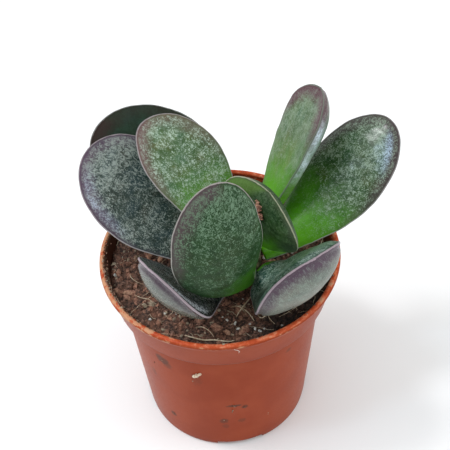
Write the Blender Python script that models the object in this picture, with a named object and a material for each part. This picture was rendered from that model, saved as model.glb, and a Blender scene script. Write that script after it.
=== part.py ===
# Potted adromischus: nine thick leaves on a short stem, rooted in peat in a round nursery pot.
# Metres, +Z up. The origin is on the table under the middle of the pot, and -Y is the front.

from math import cos, pi, radians, sin, sqrt

import bmesh
import bpy
from mathutils import Vector

MM = 0.001
GAP = 0.3                 # mm of air that touching pieces keep

# Pot, a standard 5.5 cm nursery pot; all in mm
POT_HEIGHT = 50.0
LIP_RADIUS = 27.5
BEAD_RADIUS = 0.7         # rounded bead round the lip
WALL = 1.0
COLLAR_TOP_RADIUS = 26.9  # collar wall just under the bead
COLLAR_LOW_RADIUS = 25.15
COLLAR_LOW = 40.7         # height where the collar starts to step in
STEP_HEIGHT = 1.4         # height of the soft step under the collar
BODY_TOP_RADIUS = 23.4
BASE_RADIUS = 20.2
BASE_ROUND = 0.7          # rounding of the bottom edge
FLOOR = 2.4               # floor thickness
POT_SEGMENTS = 64

# Drainage: four channels under the floor, open at the bottom edge, with a hole in each
NOTCHES = 4
NOTCH_TURN = -83.4        # degrees from +X to the middle of the front notch
NOTCH_ANGLE = 33.0        # degrees that a notch takes of the edge
NOTCH_HEIGHT = 1.3
CHANNEL_START = 9.0       # distance from the axis where a channel starts
DRAIN_RADIUS = 2.0
DRAIN_FROM_AXIS = 14.0

# Soil
SOIL_TOP = 46.35          # mean height of the surface
SOIL_BOTTOM = FLOOR + GAP
SOIL_RINGS = 13
SOIL_SEGMENTS = 48
LUMPS = (                 # wave numbers along X and Y in rad/mm, phase, height in mm
    (0.55, 0.21, 1.3, 0.16),
    (-0.34, 0.66, 0.4, 0.15),
    (1.05, -0.72, 2.0, 0.12),
    (0.88, 1.27, 5.1, 0.10),
)

# Stem and rootstock
STEM_X = 6.5
STEM_Y = -4.5
STEM_RADIUS = 2.75
STEM_TOP = 55.2
ROOT_BOTTOM = 36.0
ROOT_TAPER = 4.0          # height of the rootstock's pointed end
SCAR_PITCH = 1.8          # height between the low rings where old leaves came off
SCAR_WAIST = 0.93         # radius between two rings, as a share of the stem's
DOME_HEIGHT = 1.0         # height of the stem's round top
STEM_SEGMENTS = 20

# Leaves: what they share
LEAF_STATIONS = 18        # rings from the stem to the tip
LEAF_ACROSS = 11          # points across one face
SPINE_STEPS = 60
FACE_POWER = 0.62         # 0.5 is an elliptic section, 1 a parabolic one
NECK = 0.23               # width at the stem, as a share of the full width
NECK_BULGE = 0.55         # thickness at the stem, as a share of the full thickness
SWELL_POWER = 1.5         # how slowly the neck widens
WIDEST = 0.62             # share of the length where a leaf is widest
TURN = 0.16               # share of the length in which a leaf leaves the stem's side
LEAN_START = 0.3          # share of the length in which a leaf comes to its full lean
MEAN_CLIMB = 0.55         # share of the curl that lies above the climb that a leaf is given
DISH_LEVEL = 0.33         # share of the dish that lies above the leaf's middle
SEAT = 3.3                # mm from the stem's axis to the leaf's base
CROWN_SEAT = 1.0          # the same for the crown leaf, which stands on the stem's top
SIDE_LIFT = 0.25          # how steeply a leaf leaves the stem
CROWN_LIFT = 5.0

# Each leaf: the side of the stem it grows from and its height there, the compass heading and the
# climb of its middle, how much it curls up towards the tip, how far it leans over about its own
# length, how much it twists, its length and width, how far the upper and the lower face bulge from
# the middle, and how deep it is dished (below zero, arched). Angles in degrees from +X, sizes in mm.
# Where a leaf differs from the rest, its own widest place, neck, neck_bulge and swell follow.
LEAVES = {
    "leaf_back_left": dict(side=109, height=49.0, heading=140, climb=27, curl=-1, lean=-15, twist=19,
                           length=46.0, width=29.0, upper=1.7, lower=2.6, dish=0.15),
    "leaf_upper_left": dict(side=139, height=54.0, heading=131, climb=50, curl=-41, lean=2, twist=0,
                            length=35.0, width=19.0, upper=1.9, lower=2.0, dish=0.25),
    "leaf_left": dict(side=171, height=51.0, heading=150, climb=32, curl=2, lean=-16, twist=0,
                      length=41.0, width=24.0, upper=1.5, lower=1.8, dish=0.06),
    "leaf_front": dict(side=256, height=52.5, heading=242, climb=51, curl=91, lean=46, twist=0,
                       length=44.0, width=19.0, upper=1.9, lower=3.0, dish=0.03),
    "leaf_middle": dict(side=322, height=56.0, heading=296, climb=71, curl=1, lean=-68, twist=-20,
                        length=24.0, width=20.5, upper=2.6, lower=2.8, dish=-0.14, crown=True),
    "leaf_upright": dict(side=70, height=54.5, heading=41, climb=54, curl=3, lean=-28, twist=0,
                         length=37.5, width=16.0, upper=1.7, lower=3.7, dish=0.23, widest=0.8),
    "leaf_right": dict(side=17, height=52.0, heading=29, climb=34, curl=12, lean=12, twist=0,
                       length=41.0, width=19.0, upper=1.6, lower=2.4, dish=-0.07),
    "leaf_front_left": dict(side=226, height=49.5, heading=217.7, climb=20.7, curl=81.5, lean=-6.4,
                            twist=12.8, length=33.4, width=17.7, upper=1.7, lower=3.7, dish=0.06,
                            widest=0.59, neck=0.2, swell=3.2),
    "leaf_front_right": dict(side=319, height=49.5, heading=303.8, climb=30.5, curl=72.7, lean=12,
                             twist=-25.9, length=26.2, width=23.3, upper=3.8, lower=4.2, dish=0.11,
                             neck=0.25, neck_bulge=0.36, swell=0.95),
}

# Colours, linear RGB
TERRACOTTA = (0.42, 0.098, 0.052)
PEAT = (0.022, 0.013, 0.009)
BARK = (0.110, 0.090, 0.045)
LEAF_COLOURS = {
    "leaf_back_left": (0.030, 0.062, 0.036),
    "leaf_upper_left": (0.088, 0.140, 0.075),
    "leaf_left": (0.060, 0.080, 0.075),
    "leaf_front": (0.062, 0.130, 0.070),
    "leaf_middle": (0.045, 0.100, 0.035),
    "leaf_upright": (0.110, 0.190, 0.100),
    "leaf_right": (0.070, 0.170, 0.060),
    "leaf_front_left": (0.070, 0.080, 0.075),
    "leaf_front_right": (0.095, 0.120, 0.105),
}


def clear_scene():
    for thing in list(bpy.data.objects):
        bpy.data.objects.remove(thing, do_unlink=True)


def make_material(name, colour, roughness):
    material = bpy.data.materials.new(name)
    material.use_nodes = True
    shader = material.node_tree.nodes["Principled BSDF"]
    shader.inputs["Base Color"].default_value = (*colour, 1.0)
    shader.inputs["Roughness"].default_value = roughness
    shader.inputs["Metallic"].default_value = 0.0
    material.diffuse_color = (*colour, 1.0)
    return material


def add_object(name, bm, material=None):
    # Turns a bmesh in millimetres into an object in metres with its faces pointing out
    bmesh.ops.remove_doubles(bm, verts=bm.verts, dist=0.0005)
    bmesh.ops.recalc_face_normals(bm, faces=bm.faces)
    for vert in bm.verts:
        vert.co *= MM
    mesh = bpy.data.meshes.new(name)
    bm.to_mesh(mesh)
    bm.free()
    thing = bpy.data.objects.new(name, mesh)
    bpy.context.collection.objects.link(thing)
    if material:
        mesh.materials.append(material)
    mesh.shade_smooth()
    mesh.set_sharp_from_angle(angle=radians(40))
    return thing


def turned(profile, segments):
    # Spins a profile of (radius, height) points about Z; its ends lie on the axis or meet
    bm = bmesh.new()
    points = [bm.verts.new((radius, 0.0, height)) for radius, height in profile]
    edges = [bm.edges.new(pair) for pair in zip(points, points[1:])]
    bmesh.ops.spin(bm, geom=points + edges, cent=(0, 0, 0), axis=(0, 0, 1), angle=2 * pi,
                   steps=segments, use_merge=True)
    return bm


def arc(centre, radius, start, end, steps):
    # Points of (radius, height) on an arc, from one angle in degrees to another
    angles = [radians(start + (end - start) * i / steps) for i in range(steps + 1)]
    return [(centre[0] + radius * cos(a), centre[1] + radius * sin(a)) for a in angles]


def wall_step(high, low, steps):
    # Soft step between two points of the wall, steepest in its middle
    shares = [0.5 - 0.5 * cos(pi * i / steps) for i in range(steps + 1)]
    heights = [high[1] + (low[1] - high[1]) * i / steps for i in range(steps + 1)]
    return [(high[0] + (low[0] - high[0]) * share, height) for share, height in zip(shares, heights)]


def inner_radius(height):
    # Inner face of the pot's wall at a height: body, step, collar
    body_top = COLLAR_LOW - STEP_HEIGHT
    if height <= body_top:
        outer = BASE_RADIUS + (BODY_TOP_RADIUS - BASE_RADIUS) * height / body_top
    elif height >= COLLAR_LOW:
        rise = (height - COLLAR_LOW) / (POT_HEIGHT - 2 * BEAD_RADIUS - COLLAR_LOW)
        outer = COLLAR_LOW_RADIUS + (COLLAR_TOP_RADIUS - COLLAR_LOW_RADIUS) * rise
    else:
        share = 0.5 - 0.5 * cos(pi * (height - body_top) / STEP_HEIGHT)
        outer = BODY_TOP_RADIUS + (COLLAR_LOW_RADIUS - BODY_TOP_RADIUS) * share
    return outer - WALL


def pot_profile():
    body_top = COLLAR_LOW - STEP_HEIGHT
    bead = (LIP_RADIUS - BEAD_RADIUS, POT_HEIGHT - BEAD_RADIUS)
    corner = (BASE_RADIUS - BASE_ROUND, BASE_ROUND)
    outer = [(0.0, 0.0), (CHANNEL_START, 0.0)]
    outer += arc(corner, BASE_ROUND, -90, 0, 3)
    outer += wall_step((BODY_TOP_RADIUS, body_top), (COLLAR_LOW_RADIUS, COLLAR_LOW), 4)
    outer += [(COLLAR_TOP_RADIUS, POT_HEIGHT - 2 * BEAD_RADIUS)]
    outer += arc(bead, BEAD_RADIUS, -40, 200, 8)
    inner = [(inner_radius(height), height) for height in
             (POT_HEIGHT - 3 * BEAD_RADIUS, COLLAR_LOW, COLLAR_LOW - STEP_HEIGHT / 2, body_top, FLOOR)]
    return outer + inner + [(0.0, FLOOR)]


def sector(bm, inner, outer, low, high, middle, angle, steps):
    # Closed block between two radii and two heights, spanning an angle in degrees
    turns = [radians(middle - angle / 2 + angle * i / steps) for i in range(steps + 1)]
    corners = [(inner, low), (outer, low), (outer, high), (inner, high)]
    rings = [[bm.verts.new((r * cos(a), r * sin(a), z)) for r, z in corners] for a in turns]
    for ring, following in zip(rings, rings[1:]):
        for i in range(4):
            bm.faces.new((ring[i], ring[(i + 1) % 4], following[(i + 1) % 4], following[i]))
    bm.faces.new(rings[0])
    bm.faces.new(rings[-1])


def rod(bm, centre, radius, low, high, segments):
    # Closed upright cylinder
    made = bmesh.ops.create_cone(bm, cap_ends=True, segments=segments, radius1=radius, radius2=radius,
                                 depth=high - low)
    bmesh.ops.translate(bm, verts=made["verts"], vec=(centre[0], centre[1], (low + high) / 2))


def cut(thing, name, bm):
    # Cuts a closed shape out of an object; the cutter stays hidden
    cutter = add_object(name, bm)
    cutter.hide_render = True
    cutter.display_type = "WIRE"
    boolean = thing.modifiers.new(name, "BOOLEAN")
    boolean.operation = "DIFFERENCE"
    boolean.object = cutter


def make_pot():
    material = make_material("terracotta_plastic", TERRACOTTA, 0.42)
    pot = add_object("pot", turned(pot_profile(), POT_SEGMENTS), material)
    channels = bmesh.new()
    drains = bmesh.new()
    for i in range(NOTCHES):
        middle = NOTCH_TURN + i * 360.0 / NOTCHES
        sector(channels, CHANNEL_START, BASE_RADIUS + WALL, -1.0, NOTCH_HEIGHT, middle, NOTCH_ANGLE, 6)
        centre = (DRAIN_FROM_AXIS * cos(radians(middle)), DRAIN_FROM_AXIS * sin(radians(middle)))
        rod(drains, centre, DRAIN_RADIUS, NOTCH_HEIGHT / 2, FLOOR + 1.0, 20)
    cut(pot, "drain_channels", channels)
    cut(pot, "drain_holes", drains)


def soil_height(x, y):
    waves = sum(height * sin(a * x + b * y + phase) for a, b, phase, height in LUMPS)
    return SOIL_TOP + waves


def make_soil():
    # A plug that follows the pot's inner wall, with lumps on its surface and a plain hole for the stem
    heights = [SOIL_BOTTOM, COLLAR_LOW - STEP_HEIGHT, COLLAR_LOW - STEP_HEIGHT / 2, COLLAR_LOW]
    side = [(inner_radius(height) - GAP, height) for height in heights]
    edge = inner_radius(SOIL_TOP) - GAP
    surface = [(edge * (1 - i / SOIL_RINGS), SOIL_TOP) for i in range(SOIL_RINGS + 1)]
    bm = turned([(0.0, SOIL_BOTTOM)] + side + surface, SOIL_SEGMENTS)
    for vert in bm.verts:
        if abs(vert.co.z - SOIL_TOP) < 0.01:
            vert.co.z = soil_height(vert.co.x, vert.co.y)
    soil = add_object("soil", bm, make_material("peat", PEAT, 0.95))
    hole = bmesh.new()
    rod(hole, (STEM_X, STEM_Y), STEM_RADIUS + GAP, ROOT_BOTTOM - GAP, STEM_TOP, 24)
    cut(soil, "stem_hole", hole)


def make_stem():
    # A short neck with low rings where old leaves came off, and a rootstock that narrows below
    root = [(STEM_RADIUS * sin(a), ROOT_BOTTOM + ROOT_TAPER * (1.0 - cos(a)))
            for a in (pi / 2 * i / 4 for i in range(5))]
    dome = [(STEM_RADIUS * cos(a), STEM_TOP - DOME_HEIGHT * (1.0 - sin(a)))
            for a in (pi / 2 * i / 4 for i in range(5))]
    neck = []
    height = ROOT_BOTTOM + ROOT_TAPER + SCAR_PITCH
    while height < STEM_TOP - DOME_HEIGHT:
        neck += [(STEM_RADIUS * SCAR_WAIST, height - SCAR_PITCH / 2), (STEM_RADIUS, height)]
        height += SCAR_PITCH
    bm = turned(root + neck + dome, STEM_SEGMENTS)
    bmesh.ops.translate(bm, verts=bm.verts, vec=(STEM_X, STEM_Y, 0.0))
    add_object("stem", bm, make_material("stem_bark", BARK, 0.8))


def ease(x):
    x = min(max(x, 0.0), 1.0)
    return x * x * (3.0 - 2.0 * x)


def compass(angle, climb=0.0):
    return Vector((cos(climb) * cos(angle), cos(climb) * sin(angle), sin(climb)))


def leaf_direction(leaf, t):
    # Where the leaf's middle points at a share t of its length: away from the stem, then its heading
    lift = CROWN_LIFT if leaf.get("crown") else SIDE_LIFT
    away = (compass(radians(leaf["side"])) + Vector((0.0, 0.0, lift))).normalized()
    climb = radians(leaf["climb"] + leaf["curl"] * (MEAN_CLIMB - (1.0 - t) ** 2))
    onward = compass(radians(leaf["heading"]), climb)
    return away.lerp(onward, ease(t / TURN)).normalized()


def leaf_spine(leaf):
    # Points along the leaf's middle
    seat = CROWN_SEAT if leaf.get("crown") else SEAT
    point = Vector((STEM_X, STEM_Y, leaf["height"])) + seat * compass(radians(leaf["side"]))
    points = [point]
    for i in range(SPINE_STEPS):
        before = leaf_direction(leaf, i / SPINE_STEPS)
        after = leaf_direction(leaf, (i + 1) / SPINE_STEPS)
        point = point + (before + after) * (0.5 * leaf["length"] / SPINE_STEPS)
        points.append(point)
    return points


def leaf_place(leaf, spine, t):
    # The middle of the leaf at t, and the directions across it and out of its upper face
    step = min(int(t * SPINE_STEPS), SPINE_STEPS - 1)
    middle = spine[step].lerp(spine[step + 1], t * SPINE_STEPS - step)
    along = leaf_direction(leaf, t)
    quarter = pi / 2
    level = compass(radians(leaf["side"]) + quarter).lerp(
        compass(radians(leaf["heading"]) + quarter), ease(t / TURN))
    level = (level - level.dot(along) * along).normalized()
    upright = along.cross(level)
    share = ease(t / LEAN_START)
    roll = radians(leaf["lean"] + leaf["twist"] * (t - 0.5)) * share
    return middle, level * cos(roll) + upright * sin(roll), upright * cos(roll) - level * sin(roll)


def leaf_outline(leaf, t):
    # Half width at t, as a share of the full half width: a neck that swells to a round end
    widest = leaf.get("widest", WIDEST)
    if t > widest:
        return sqrt(max(0.0, 1.0 - ((t - widest) / (1.0 - widest)) ** 2))
    neck = leaf.get("neck", NECK)
    return neck + (1.0 - neck) * sin(pi / 2 * t / widest) ** leaf.get("swell", SWELL_POWER)


def leaf_bulge(leaf, t):
    # Height of the faces at t, as a share of the full height
    widest = leaf.get("widest", WIDEST)
    if t > widest:
        return max(0.0, 1.0 - ((t - widest) / (1.0 - widest)) ** 2) ** FACE_POWER
    neck = leaf.get("neck_bulge", NECK_BULGE)
    return neck + (1.0 - neck) * sin(pi / 2 * t / widest)


def leaf_ring(leaf, spine, t):
    # Points round the leaf at t: over the upper face, then back under the lower one
    middle, across, out = leaf_place(leaf, spine, t)
    half_width = leaf["width"] / 2
    outline = leaf_outline(leaf, t)
    bulge = leaf_bulge(leaf, t)
    ring = []
    for i in range(2 * (LEAF_ACROSS - 1)):
        angle = pi * i / (LEAF_ACROSS - 1)
        u = cos(angle)
        face = leaf["upper"] if angle <= pi else -leaf["lower"]
        crown = face * max(0.0, 1.0 - u * u) ** FACE_POWER * bulge
        dish = leaf["dish"] * half_width * (u * u - DISH_LEVEL) * outline
        ring.append(middle + across * (half_width * outline * u) + out * (crown + dish))
    return ring


def leaf_shares(widest):
    # Shares of the length for the rings, even along the neck and closer towards the tip
    shares = []
    for i in range(LEAF_STATIONS):
        a = i / (LEAF_STATIONS - 1)
        late = widest + (1.0 - widest) * sin(pi * (a - 0.5))
        shares.append(2 * a * widest if a < 0.5 else late)
    return shares


def make_leaf(name, leaf):
    spine = leaf_spine(leaf)
    bm = bmesh.new()
    rings = []
    for t in leaf_shares(leaf.get("widest", WIDEST))[:-1]:
        rings.append([bm.verts.new(point) for point in leaf_ring(leaf, spine, t)])
    tip = bm.verts.new(spine[-1])
    count = len(rings[0])
    for ring, following in zip(rings, rings[1:]):
        for i in range(count):
            j = (i + 1) % count
            bm.faces.new((ring[i], ring[j], following[j], following[i]))
    for i in range(count):
        bm.faces.new((rings[-1][i], rings[-1][(i + 1) % count], tip))
    bm.faces.new(rings[0])
    bmesh.ops.triangulate(bm, faces=bm.faces)
    add_object(name, bm, make_material(name + "_skin", LEAF_COLOURS[name], 0.45))


clear_scene()
make_pot()
make_soil()
make_stem()
for leaf_name, leaf_values in LEAVES.items():
    make_leaf(leaf_name, leaf_values)
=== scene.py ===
import math

import bmesh
import bpy
import numpy as np
from mathutils import Matrix, Vector, noise


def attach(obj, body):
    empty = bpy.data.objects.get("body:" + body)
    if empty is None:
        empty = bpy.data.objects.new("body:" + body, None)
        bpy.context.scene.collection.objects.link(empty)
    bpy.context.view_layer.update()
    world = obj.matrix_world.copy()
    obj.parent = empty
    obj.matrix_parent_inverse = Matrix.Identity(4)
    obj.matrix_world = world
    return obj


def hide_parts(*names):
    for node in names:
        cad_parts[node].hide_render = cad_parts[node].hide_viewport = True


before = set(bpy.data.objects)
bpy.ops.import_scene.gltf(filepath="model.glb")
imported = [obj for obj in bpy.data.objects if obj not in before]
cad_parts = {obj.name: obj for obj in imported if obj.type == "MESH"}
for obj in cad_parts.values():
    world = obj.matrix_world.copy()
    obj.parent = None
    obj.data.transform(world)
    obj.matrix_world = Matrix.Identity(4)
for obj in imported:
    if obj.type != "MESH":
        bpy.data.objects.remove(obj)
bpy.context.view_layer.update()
mm = 0.001


def ease(x):
    x = np.clip(x, 0.0, 1.0)
    return x * x * (3.0 - 2.0 * x)


def unit(v):
    return v / np.maximum(np.linalg.norm(v, axis=-1, keepdims=True), 1e-12)


def around(radius, turn, height):
    # Point at an angle round the pot's axis, for numbers or arrays
    return np.stack(np.broadcast_arrays(radius * np.cos(turn), radius * np.sin(turn), height), -1)


def noiseAt(points, shift=(0, 0, 0)):
    return np.array([noise.noise(Vector(p) + Vector(shift)) for p in points])


def nearest(points, others, block=2000):
    # Distance from each point to the closest of the others, block by block to save memory
    return np.concatenate([np.linalg.norm(points[i:i + block, None] - others[None], axis=2).min(1)
                           for i in range(0, len(points), block)])


def addObject(name, data):
    thing = bpy.data.objects.new(name, data)
    bpy.context.scene.collection.objects.link(thing)
    return thing


def makeMesh(name, points, faces, smooth=True):
    mesh = bpy.data.meshes.new(name)
    mesh.from_pydata((np.asarray(points) * mm).tolist(), [], faces)
    mesh.validate()
    if smooth:
        mesh.shade_smooth()
    return addObject(name, mesh)


def applyModifiers(thing):
    graph = bpy.context.evaluated_depsgraph_get()
    mesh = bpy.data.meshes.new_from_object(thing.evaluated_get(graph))
    thing.modifiers.clear()
    thing.data = mesh


def ringFaces(rings, count, first=0, flip=False):
    # Quads between closed rings of points that follow each other
    faces = []
    for i in range(rings - 1):
        a, b = first + i * count, first + (i + 1) * count
        for j in range(count):
            k = (j + 1) % count
            faces.append((a + j, b + j, b + k, a + k) if flip else (a + j, a + k, b + k, b + j))
    return faces


def fan(centre, first, count, flip=False):
    # Triangles between one point and a ring
    pairs = [(first + j, first + (j + 1) % count) for j in range(count)]
    return [(b, a, centre) if flip else (a, b, centre) for a, b in pairs]


def tubeFaces(rings, count, first=0, flip=False):
    # Rings with a cap at each end
    low = tuple(range(first, first + count))
    high = tuple(index + (rings - 1) * count for index in low)
    return ringFaces(rings, count, first, flip) + ([low, high[::-1]] if flip else [low[::-1], high])


def addAttribute(thing, name, kind, values):
    layer = thing.data.attributes.new(name, kind, "POINT")
    key = "vector" if kind == "FLOAT_VECTOR" else "value"
    layer.data.foreach_set(key, np.asarray(values, np.float32).ravel())


def finishPiece(thing, material, slotName, *nodes):
    if material:
        thing.data.materials.clear()
        thing.data.materials.append(material)
    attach(thing, "root")
    if nodes:
        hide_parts(*nodes)
    print(thing.name + ":", len(thing.data.polygons), "faces")


# A number or colour that a node gives; each sum with it adds a Math node
class Value:
    def __init__(self, nodes, socket):
        self.nodes, self.socket = nodes, socket

    def __add__(self, other):
        return self.nodes.math("ADD", self, other)

    def __sub__(self, other):
        return self.nodes.math("SUBTRACT", self, other)

    def __rsub__(self, other):
        return self.nodes.math("SUBTRACT", other, self)

    def __mul__(self, other):
        return self.nodes.math("MULTIPLY", self, other)

    def __truediv__(self, other):
        return self.nodes.math("DIVIDE", self, other)


# Node helpers: node makes one and returns the output that the next one reads
class Nodes:
    def join(self, value, socket):
        if isinstance(value, Value):
            self.tree.links.new(value.socket, socket)
        else:
            socket.default_value = (*value, 1.0) if socket.type == "RGBA" else value

    def node(self, kind, sockets=(), out=0, **settings):
        # A kind without Node in its name is a shader node
        made = self.tree.nodes.new(kind if "Node" in kind else "ShaderNode" + kind)
        for key, value in settings.items():
            setattr(made, key, value)
        for key, value in dict(sockets).items():
            self.join(value, made.inputs[key])
        return Value(self, made.outputs[out])

    def math(self, kind, *values):
        return self.node("Math", enumerate(values), operation=kind)


class Shader(Nodes):
    def __init__(self, name):
        self.material = bpy.data.materials.new(name)
        self.material.use_nodes = True
        self.tree = self.material.node_tree
        self.under = {}

    def step(self, value, low, high, toLow=0, toHigh=1):
        values = enumerate((value, low, high, toLow, toHigh))
        return self.node("MapRange", values, interpolation_type="SMOOTHSTEP")

    def mix(self, share, a, b):
        return self.node("Mix", {0: share, 6: a, 7: b}, 2, data_type="RGBA")

    def paint(self, share, colour):
        # Another colour over the ones before it
        self.colour = self.mix(share, self.colour, colour)

    def place(self, scale=(1000, 1000, 1000), vector=None):
        # In mm unless another scale is given
        source = vector or self.node("TexCoord", out="Object")
        return self.node("Mapping", {0: source, "Scale": scale})

    def reach(self, place, centre, sizes, turn=0):
        # Distance from the middle of a spot, 1 at its edge
        values = {0: place, "Location": centre, "Rotation": (0, 0, turn), "Scale": sizes}
        spot = self.node("Mapping", values, vector_type="TEXTURE")
        return self.node("VectorMath", {0: spot}, "Value", operation="LENGTH")

    def noise(self, vector, scale, detail=2, rough=0.5, warp=0):
        values = {"Vector": vector, "Scale": scale, "Detail": detail, "Roughness": rough, "Distortion": warp}
        return self.node("TexNoise", values, "Fac")

    def bump(self, height, distance, strength):
        # Another relief over the ones before it
        values = {"Height": height, "Distance": distance, "Strength": strength, **self.under}
        self.under = {"Normal": self.node("Bump", values)}

    def finish(self, rough, **fixed):
        for key, value in {"Base Color": self.colour, "Roughness": rough, **self.under, **fixed}.items():
            self.join(value, self.tree.nodes["Principled BSDF"].inputs[key])
        return self.material


# Pot: the solid's profile with a rounder bead and finer steps, in mm; colours are linear
pot = dict(
    height=50, lipRadius=27.5, bead=0.7, wall=1, collarTop=26.9, collarLow=25.15, collarHeight=40.7,
    stepHeight=1.4, bodyTop=23.4, baseRadius=20.2, baseRound=0.7, floor=2.4, segments=240, notchTurn=-83.4,
    notchAngle=33, notchHeight=1.3, channelStart=9, drainRadius=2, drainFromAxis=14, waver=0.1,
    colour=(0.258, 0.038, 0.01), rubbed=(0.3, 0.052, 0.017), pitted=(0.18, 0.03, 0.012),
    lipGlow=(0.5, 0.085, 0.03), lipHighlight=(0.66, 0.19, 0.095), lipDeep=(0.34, 0.045, 0.018),
    salts=(0.52, 0.3, 0.17), driedSoil=(0.045, 0.024, 0.016), collarShade=(0.08, 0.023, 0.013),
    footDust=(0.16, 0.055, 0.038), splash=(0.088, 0.03, 0.016))

# Splashes of soil on the pot: degrees from +X, height, width and height in mm, how dark
potMarks = [
    (-128.8, 33.9, 1.9, 1.5, 0.6), (-131.8, 34.8, 0.9, 0.7, 0.5), (-126, 32.6, 1.2, 1.3, 0.4),
    (-87.1, 19.3, 1.8, 0.55, 0.85), (-80.2, 18.2, 0.9, 0.7, 0.6), (-131.1, 8.8, 0.9, 1, 0.65),
    (-94, 12.2, 1.1, 1.2, 0.55), (-93, 9.6, 0.9, 1, 0.3), (-82.2, 11.8, 1, 0.9, 0.35),
    (-108.3, 30.6, 1.3, 2.6, 0.22), (-52, 35, 0.8, 0.7, 0.4), (-140, 25, 0.8, 1.4, 0.3),
    (38, 27, 1.4, 0.9, 0.35), (121, 15, 0.9, 1.3, 0.4)]
bodyHigh = pot["collarHeight"] - pot["stepHeight"]
underLip = pot["height"] - 2 * pot["bead"]
collarSlope = (pot["collarTop"] - pot["collarLow"]) / (underLip - pot["collarHeight"])


def outerRadius(z):
    p = pot
    body = p["baseRadius"] + (p["bodyTop"] - p["baseRadius"]) * z / bodyHigh
    collar = p["collarLow"] + collarSlope * (z - p["collarHeight"])
    share = 0.5 - 0.5 * np.cos(np.pi * np.clip((z - bodyHigh) / p["stepHeight"], 0, 1))
    middle = p["bodyTop"] + (p["collarLow"] - p["bodyTop"]) * share
    return float(body if z <= bodyHigh else collar if z >= p["collarHeight"] else middle)


def arcPoints(centre, radius, start, end, steps):
    turn = np.radians(np.linspace(start, end, steps + 1))
    return [(centre[0] + radius * math.cos(a), centre[1] + radius * math.sin(a)) for a in turn]


def potProfile():
    p = pot
    levels = [*np.linspace(1.5, bodyHigh - 0.4, 26), *np.linspace(bodyHigh, p["collarHeight"], 9),
              *np.linspace(p["collarHeight"] + 0.3, underLip - 0.2, 8)]
    inner = [p["height"] - 3 * p["bead"], 46.0, 44.0, p["collarHeight"], bodyHigh, 20.0, p["floor"]]
    return [(0.0, 0.0), (p["channelStart"], 0.0),
            *arcPoints((p["baseRadius"] - p["baseRound"], p["baseRound"]), p["baseRound"], -90, 0, 6),
            *[(outerRadius(z), z) for z in levels],
            *arcPoints((p["lipRadius"] - p["bead"], p["height"] - p["bead"]), p["bead"], -50, 205, 22),
            *[(outerRadius(z) - p["wall"], z) for z in inner], (0.0, p["floor"])]


def latheMesh(name, profile, segments, shape):
    # Turns a profile whose two ends lie on the axis; shape moves a point by its angle
    turn = np.linspace(0, 2 * np.pi, segments, endpoint=False)
    radius, height = (np.repeat(column[1:-1, None], segments, 1) for column in np.array(profile).T)
    radius, height = shape(radius, height, turn[None])
    body = around(radius, turn[None], height).reshape(-1, 3)
    points = np.vstack([body, [[0, 0, profile[0][1]], [0, 0, profile[-1][1]]]])
    faces = ringFaces(len(radius), segments) + fan(len(body), 0, segments, flip=True)
    return makeMesh(name, points, faces + fan(len(body) + 1, len(body) - segments, segments))


def potWaver(radius, height, angle):
    # A thin moulded wall is never quite round, least of all at its free lip
    share = ease(height / pot["height"])
    wave = np.sin(2 * angle + 0.6) * 0.55 + np.sin(3 * angle + 2.1) * 0.3 + np.sin(7 * angle + 0.3) * 0.15
    lip = ease((height - pot["height"] + 2.0) / 2.0)
    radius = radius + pot["waver"] * wave * share * (radius > 15.0)
    return radius, height + 0.06 * np.sin(5 * angle + 1.0) * lip - 0.06 * lip


def channelCutter(turn):
    p = pot
    half = math.radians(p["notchAngle"] / 2)
    angles = np.linspace(turn - half, turn + half, 17)
    inner, outer, high = p["channelStart"], p["baseRadius"] + 1.5, p["notchHeight"]
    corners = [(inner, -1.0), (outer, -1.0), (outer, high), (inner, high)]
    points = [around(radius, angle, z) for angle in angles for radius, z in corners]
    return makeMesh("channel", points, tubeFaces(len(angles), 4, flip=True), smooth=False)


def drainCutter(turn, sides=40):
    p = pot
    centre = around(p["drainFromAxis"], turn, 0.0)
    angles = np.linspace(0, 2 * np.pi, sides, endpoint=False)
    levels = (0.5, p["floor"] + 1.0)
    points = [centre + around(p["drainRadius"], angle, z) for z in levels for angle in angles]
    return makeMesh("drain", points, tubeFaces(2, sides), smooth=False)


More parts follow.
